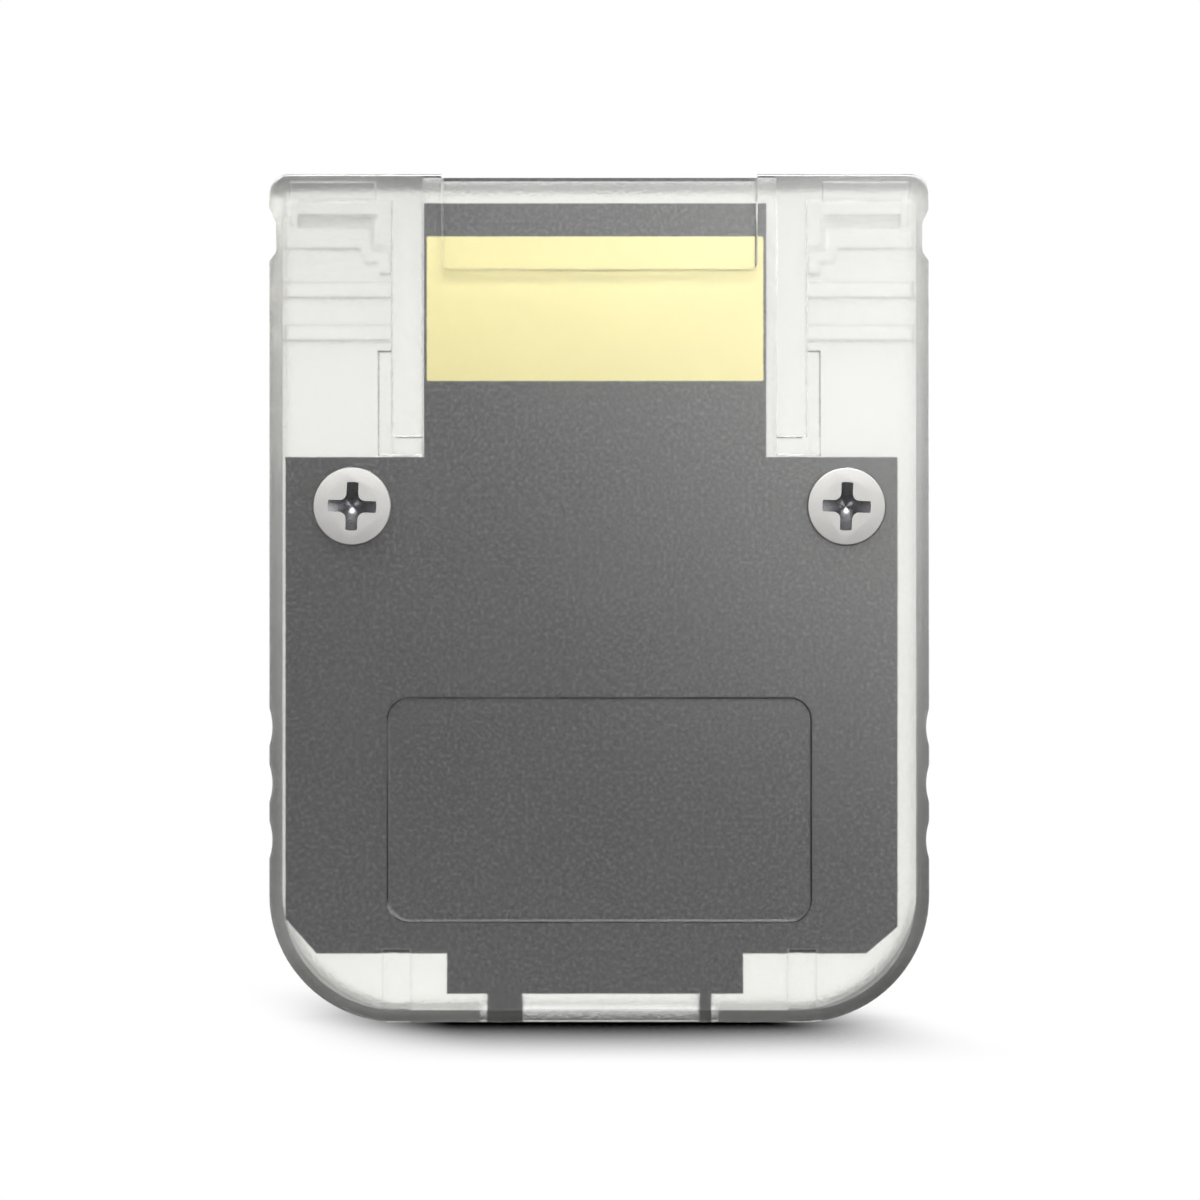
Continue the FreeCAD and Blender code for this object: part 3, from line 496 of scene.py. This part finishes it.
def caseScrew(x):
    s = screwSizes
    level, z = s["level"], s["z"]
    bpy.ops.object.select_all(action="DESELECT")
    bpy.ops.mesh.primitive_circle_add(
        vertices=s["facets"], radius=s["head"], fill_type="NGON", location=(x, level, z), rotation=upright)
    screw = settled()
    bpy.ops.object.mode_set(mode="EDIT")
    bpy.ops.mesh.select_all(action="SELECT")
    radius, depth = s["head"] / mm, 0
    for nextRadius, nextDepth in s["profile"]:
        bpy.ops.mesh.extrude_region_move(TRANSFORM_OT_translate={"value": (0, (nextDepth - depth) * mm, 0)})
        share = nextRadius / radius
        bpy.ops.transform.resize(value=(share, 1, share), center_override=(x, level + nextDepth * mm, z))
        radius, depth = nextRadius, nextDepth
    bpy.ops.mesh.select_all(action="SELECT")
    bpy.ops.mesh.normals_make_consistent(inside=False)
    pick(lambda p: p.y < level + touch)
    bpy.ops.mesh.bevel(offset=s["rim"], segments=s["rimSteps"], affect="EDGES")
    bpy.ops.object.mode_set(mode="OBJECT")
    screw.data.materials.append(slotMaterial["screw_steel"])
    cutter = crossCutter(x, z, level)
    # the recess walls: glossier steel, with painted shade in its darker colour
    cutter.data.materials.append(plainMaterial("burnishedSteelPaintedShade"))
    applied(screw, "BOOLEAN", operation="DIFFERENCE", object=cutter, solver="EXACT", material_mode="TRANSFER")
    bpy.data.objects.remove(cutter)
    thread = coil((x, level + s["threadFrom"], z), s["threadRoot"], s["thread"], s["pitch"], s["turns"], "Y")
    thread.data.materials.append(slotMaterial["screw_steel"])
    return merged([screw, thread])


leftScrew = caseScrew(-screwSizes["x"])
finishPiece(leftScrew, "caseScrewLeft")
bpy.ops.object.duplicate()
rightScrew = bpy.context.object
bpy.ops.transform.translate(value=(2 * screwSizes["x"], 0, 0))
finishPiece(rightScrew, "caseScrewRight")
for screw in (leftScrew, rightScrew):
    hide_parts("case_screws")
print("case screws")

# Eject spring: five turns of round wire between the slider and the back wall, built at one length; the real
# one is shorter when the slider goes in
springSizes = {
    "radius": 0.325 * mm, "turns": 5, "start": 7.75 * mm, "end": 14.0 * mm, "travel": 3.2 * mm,
    "wire": {"points": 12, "size": 0.075 * mm, "stretch": 1, "steps": 32},
}
s = springSizes
wireRadius = s["wire"]["size"]
springLow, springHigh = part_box("eject_spring")
springPitch = (springHigh.z - springLow.z - 2 * wireRadius) / s["turns"]
springAxis = (springLow + springHigh) / 2
springFoot = (springAxis.x, springAxis.y, springLow.z + wireRadius)
ejectSpring = coil(springFoot, s["radius"], s["wire"], springPitch, s["turns"], "Z")
finishPiece(ejectSpring, "ejectSpring", slotMaterial["cover_steel"])
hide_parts("eject_spring")
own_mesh(ejectSpring)
print("eject spring")

# Solder: a rounded mound at every contact tail, cover foot and chip end, on the board's front face
solderSizes = {
    "top": 0.5, "round": 0.12, "roundSteps": 3,  # shares of the mound's own size
    "tail": (0.86 * mm, 0.2 * mm, 0.5 * mm), "tailPlace": 0.05 * mm,
    "foot": (0.55 * mm, 0.3 * mm, 1.75 * mm), "footPlaces": (4.0 * mm, 13.35 * mm),
    "chipWide": 0.4 * mm, "chipRise": 0.6, "chipOver": 0.06 * mm,
}
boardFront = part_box("circuit_board")[1].y


def solderMound():  # unit block on the board with a smaller, rounded top
    s = solderSizes
    bpy.ops.object.select_all(action="DESELECT")
    bpy.ops.mesh.primitive_cube_add(size=1, location=(0, 0.5, 0))
    mound = settled()
    bpy.ops.object.mode_set(mode="EDIT")
    pick(lambda p: p.y > 0.9)
    bpy.ops.transform.resize(value=(s["top"], 1, s["top"]), center_override=(0, 1, 0))
    pick(lambda p: p.y > 0.9)
    bpy.ops.mesh.bevel(offset=s["round"], segments=s["roundSteps"], affect="EDGES")
    bpy.ops.object.mode_set(mode="OBJECT")
    return mound


def mounds(unit, places):  # copies of the unit mound, each at its place and size
    copies = []
    for x, z, size in places:
        alone(unit)
        bpy.ops.object.duplicate()
        copy = bpy.context.object
        copy.location = (x, boardFront, z)
        copy.scale = size
        copies.append(settled())
    return merged(copies)


s = solderSizes
tails = []
for name in sorted(n for n in nodes if n.startswith("socket_contact_")):
    low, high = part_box(name)
    tails.append(((low.x + high.x) / 2, high.z - s["tailPlace"], s["tail"]))
coverLow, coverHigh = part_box("socket_cover")
feet = [(x, z, s["foot"]) for x in (coverLow.x, coverHigh.x) for z in s["footPlaces"]]
chips = ["bulk_capacitor", "bypass_capacitor"] + sorted(n for n in nodes if n.startswith("pull_up_resistor_"))
ends = []
for name in chips:
    low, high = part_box(name)
    size = (s["chipWide"], (high.y - low.y) * s["chipRise"], high.z - low.z + s["chipOver"])
    for x in (low.x, high.x):
        ends.append((x, (low.z + high.z) / 2, size))
unit = solderMound()
tinSolder = plainMaterial("tinSolder")
for name, places in (("contactSolder", tails), ("footSolder", feet), ("chipSolder", ends)):
    finishPiece(mounds(unit, places), name, tinSolder)
bpy.data.objects.remove(unit)
print("solder")

# Copper under the mask on the board's front face: runs from the contact tails to the fingers, and plated vias
traceSizes = {
    "width": 0.32 * mm, "thickness": 0.03 * mm, "from": 15.8 * mm, "to": 49.2 * mm,
    "fan": 27.0 * mm, "step": 1.1 * mm,  # where the outer runs turn, and how much later each next one does
    "firstFinger": -7.0 * mm, "fingerPitch": 1.9 * mm,
}
viaSizes = {
    "radius": 0.42 * mm, "hole": 0.2 * mm, "facets": 24, "thickness": 0.07 * mm,
    "under": 3.0 * mm, "stagger": 1.6 * mm,  # below the turn of its run
}


def viaRing(x, z):
    v = viaSizes
    bpy.ops.object.select_all(action="DESELECT")
    bpy.ops.mesh.primitive_circle_add(
        vertices=v["facets"], radius=v["radius"], fill_type="NGON", location=(x, boardFront, z),
        rotation=upright)
    ring = settled()
    bpy.ops.object.mode_set(mode="EDIT")
    bpy.ops.mesh.select_all(action="SELECT")
    bpy.ops.mesh.inset(thickness=v["radius"] - v["hole"])
    bpy.ops.mesh.delete(type="FACE")
    bpy.ops.object.mode_set(mode="OBJECT")
    applied(ring, "SOLIDIFY", thickness=v["thickness"], offset=0)
    return ring


t = traceSizes
centreRun = (len(tails) - 1) / 2
traces = []
viaPlaces = []
for i, tail in enumerate(tails):
    x = tail[0]
    shift = t["firstFinger"] + i * t["fingerPitch"] - x
    turnAt = t["fan"] + t["step"] * (centreRun - abs(i - centreRun))
    slope = abs(shift) + t["width"]
    steps = [(0, turnAt - t["from"]), (shift, slope), (0, t["to"] - turnAt - slope)]
    traces.append(tapeRun((x, boardFront, t["from"]), t["width"], steps))
    viaPlaces.append((x, turnAt - viaSizes["under"] - (i % 2) * viaSizes["stagger"]))
boardTraces = merged(traces)
applied(boardTraces, "SOLIDIFY", thickness=t["thickness"], offset=0)
finishPiece(boardTraces, "boardTraces", plainMaterial("maskOverCopper"))

firstX, firstZ = viaPlaces[0]
rings = [viaRing(firstX, firstZ)]
for x, z in viaPlaces[1:]:
    alone(rings[0])
    bpy.ops.object.duplicate()
    bpy.ops.transform.translate(value=(x - firstX, 0, z - firstZ))
    rings.append(settled())
finishPiece(merged(rings), "platedVias", slotMaterial["gold_plating"])
print("traces and vias")

# Floor: a white card that glows, with a painted shadow where the adapter stands on it and a painted sheen,
# brighter the flatter it is looked at
floorSizes = {"across": 3.0, "drop": 0.02 * mm, "reach": 40 * mm, "end": 60 * mm, "side": (11 * mm, 24 * mm)}
floorLook = {
    "shade": (0.57, 0.98), "curve": 1.5, "drift": 0.15, "samples": 16,  # the painted shadow that the camera sees
    "flat": (0.4, 0.9), "sheen": (0.08, 1.42),  # the card seen through the clear plastic, with a painted sheen
    # under: painted shadow near the adapter on the card seen through the clear plastic; glint: the card's
    # even, dimmer level for all other rays
    "under": (0.52, 0.62), "underSheen": (0.05, 1.0), "glint": 0.2,
}


def paleCardPaintedShadow():
    f = floorLook
    material, tree, place = newMaterial("paleCardPaintedShadow")
    path = addNode(tree, "ShaderNodeLightPath")
    # painted shadow: the card is less bright the more the adapter closes it in
    near = addNode(tree, "ShaderNodeAmbientOcclusion", {
        "Distance": floorSizes["reach"],
    }, samples=f["samples"]).outputs["AO"]
    clear = addNode(tree, "ShaderNodeMapRange", {
        "Value": near, "From Min": f["shade"][0], "From Max": f["shade"][1],
    })
    dark = addNode(tree, "ShaderNodeMath", {0: clear, 1: f["curve"]}, operation="POWER")
    # the painted shadow fades out beside the adapter, and ends some way before and behind it
    spot = addNode(tree, "ShaderNodeSeparateXYZ", {"Vector": place})
    drifted = addNode(tree, "ShaderNodeMath", {
        0: spot.outputs["Y"], 1: f["drift"], 2: spot.outputs["X"],
    }, operation="MULTIPLY_ADD")
    beside = addNode(tree, "ShaderNodeMath", {0: drifted}, operation="ABSOLUTE")
    sideways = addNode(tree, "ShaderNodeMapRange", {
        "Value": beside, "From Min": floorSizes["side"][0], "From Max": floorSizes["side"][1],
    }, interpolation_type="SMOOTHSTEP")
    ahead = addNode(tree, "ShaderNodeMath", {0: spot.outputs["Y"]}, operation="ABSOLUTE")
    beyond = addNode(tree, "ShaderNodeMath", {0: ahead, 1: floorSizes["end"]}, operation="GREATER_THAN")
    lit = addNode(tree, "ShaderNodeMath", {0: sideways, 1: beyond}, operation="MAXIMUM")
    shadow = addNode(tree, "ShaderNodeMix", {0: lit, 2: dark, 3: 1.0})
    # painted sheen on the card seen through the clear plastic
    facing = addNode(tree, "ShaderNodeLayerWeight").outputs["Facing"]
    sheen = addNode(tree, "ShaderNodeMapRange", {
        "Value": facing, "From Min": f["flat"][0], "From Max": f["flat"][1],
        "To Min": f["sheen"][0], "To Max": f["sheen"][1],
    })
    under = addNode(tree, "ShaderNodeMapRange", {
        "Value": near, "From Min": f["under"][0], "From Max": f["under"][1],
        "To Min": f["underSheen"][0], "To Max": f["underSheen"][1],
    })
    behind = addNode(tree, "ShaderNodeMath", {0: sheen, 1: under}, operation="MULTIPLY")
    through = addNode(tree, "ShaderNodeMix", {
        0: path.outputs["Is Transmission Ray"], 2: f["glint"], 3: behind,
    })
    seen = addNode(tree, "ShaderNodeMix", {0: path.outputs["Is Camera Ray"], 2: through, 3: shadow})
    glow = addNode(tree, "ShaderNodeEmission", {"Strength": seen})
    addNode(tree, "ShaderNodeOutputMaterial", {"Surface": glow})
    material.cycles.emission_sampling = "NONE"  # a backdrop, not a lamp
    return material


bpy.ops.object.select_all(action="DESELECT")
bpy.ops.mesh.primitive_plane_add(size=floorSizes["across"], location=(0, 0, -floorSizes["drop"]))
floor = bpy.context.object
floor.name = "floor"
floor.data.materials.append(paleCardPaintedShadow())

# Light panels: behind, seen through the clear plastic; in front, a haze towards the upper right;
# above that a strip for the metal; at the sides, brighter towards the top
panelSizes = {
    "back": {"y": 110 * mm, "low": 0, "high": 160 * mm, "half": 170 * mm, "base": 1.23, "glow": -0.5},
    "front": {"y": -110 * mm, "low": 0, "high": 95 * mm, "half": 60 * mm, "base": 0.4, "glow": 2.2},
    "strip": {"y": -110 * mm, "low": 111 * mm, "high": 200 * mm, "half": 110 * mm, "base": 14.5, "glow": 0},
    "left": {"x": -110 * mm, "low": 0, "high": 110 * mm, "half": 70 * mm, "base": 0.05, "top": 0.85},
    "right": {"x": 110 * mm, "low": 0, "high": 110 * mm, "half": 70 * mm, "base": 0.05, "top": 3.5},
}
panelCore = {"place": (60 * mm, 75 * mm), "far": 80 * mm}  # where the glow is most, and where it ends
panelRise = (8 * mm, 48 * mm)  # heights between which the side panels brighten
panelFall = {"from": 58 * mm, "to": 68 * mm, "left": 0.62}  # the back panel is dimmer above the adapter


def glowPanel(side):
    p = panelSizes[side]
    material, tree, place = newMaterial("glowPanel_" + side)
    height = addNode(tree, "ShaderNodeSeparateXYZ", {"Vector": place}).outputs["Z"]
    if "x" in p:
        level = addNode(tree, "ShaderNodeMapRange", {
            "Value": height, "From Min": panelRise[0], "From Max": panelRise[1],
            "To Min": p["base"], "To Max": p["top"],
        })
    else:
        core = (panelCore["place"][0], p["y"], panelCore["place"][1])
        away = addNode(tree, "ShaderNodeVectorMath", {0: place, 1: core}, operation="DISTANCE")
        level = addNode(tree, "ShaderNodeMapRange", {
            "Value": away.outputs["Value"], "From Min": panelCore["far"], "From Max": 0.0,
            "To Min": p["base"], "To Max": p["base"] + p["glow"],
        })
    if side == "back":
        fall = addNode(tree, "ShaderNodeMapRange", {
            "Value": height, "From Min": panelFall["from"], "From Max": panelFall["to"],
            "To Min": 1.0, "To Max": panelFall["left"],
        })
        level = addNode(tree, "ShaderNodeMath", {0: level, 1: fall}, operation="MULTIPLY")
    glow = addNode(tree, "ShaderNodeEmission", {"Strength": level})
    addNode(tree, "ShaderNodeOutputMaterial", {"Surface": glow})
    return material


for side, p in panelSizes.items():
    middle = (p["low"] + p["high"]) / 2
    turn = math.pi / 2 if "x" in p else 0
    bpy.ops.mesh.primitive_plane_add(
        size=1, location=(p.get("x", 0), p.get("y", 0), middle), rotation=(math.pi / 2, 0, turn))
    bpy.context.object.scale = (2 * p["half"], p["high"] - p["low"], 1)
    panel = settled()
    panel.name = side + "Panel"
    panel.data.materials.append(glowPanel(side))
    panel.visible_camera = False

# Room: white to the camera, grey to everything else, and paler overhead through the clear plastic
roomLight = {"seen": 1.0, "grey": 0.25, "above": 0.9, "rise": (0.6, 0.85)}


def studioWorld():
    r = roomLight
    world = bpy.data.worlds.new("studio")
    world.use_nodes = True
    tree = world.node_tree
    tree.nodes.clear()
    path = addNode(tree, "ShaderNodeLightPath")
    way = addNode(tree, "ShaderNodeTexCoord").outputs["Generated"]
    above = addNode(tree, "ShaderNodeMapRange", {
        "Value": addNode(tree, "ShaderNodeSeparateXYZ", {"Vector": way}).outputs["Z"],
        "From Min": r["rise"][0], "From Max": r["rise"][1], "To Min": r["grey"], "To Max": r["above"],
    })
    through = addNode(tree, "ShaderNodeMix", {0: path.outputs["Is Transmission Ray"], 2: r["grey"], 3: above})
    level = addNode(tree, "ShaderNodeMix", {0: path.outputs["Is Camera Ray"], 2: through, 3: r["seen"]})
    room = addNode(tree, "ShaderNodeBackground", {"Color": (1, 1, 1, 1), "Strength": level})
    addNode(tree, "ShaderNodeOutputWorld", {"Surface": room})
    return world


bpy.context.scene.world = studioWorld()
print("stage and lights")

# Camera: level, straight at the rear face, 85 mm of the outline's plane across the picture
cameraSizes = {
    "away": 450 * mm, "across": 85.0 * mm, "x": 0.05 * mm, "z": 29.87 * mm,
    "outlineInset": 0.6 * mm, "sensor": 36.0, "clip": 10 * mm,
}
c = cameraSizes
outlineY = cadLow.y + c["outlineInset"]
bpy.ops.object.camera_add(location=(c["x"], outlineY - c["away"], c["z"]), rotation=upright)
camera = bpy.context.object
camera.data.sensor_width = c["sensor"]
camera.data.lens = c["sensor"] * c["away"] / c["across"]
camera.data.clip_start = c["clip"]
bpy.context.scene.camera = camera
bpy.context.scene.view_settings.view_transform = "Standard"
print("camera")
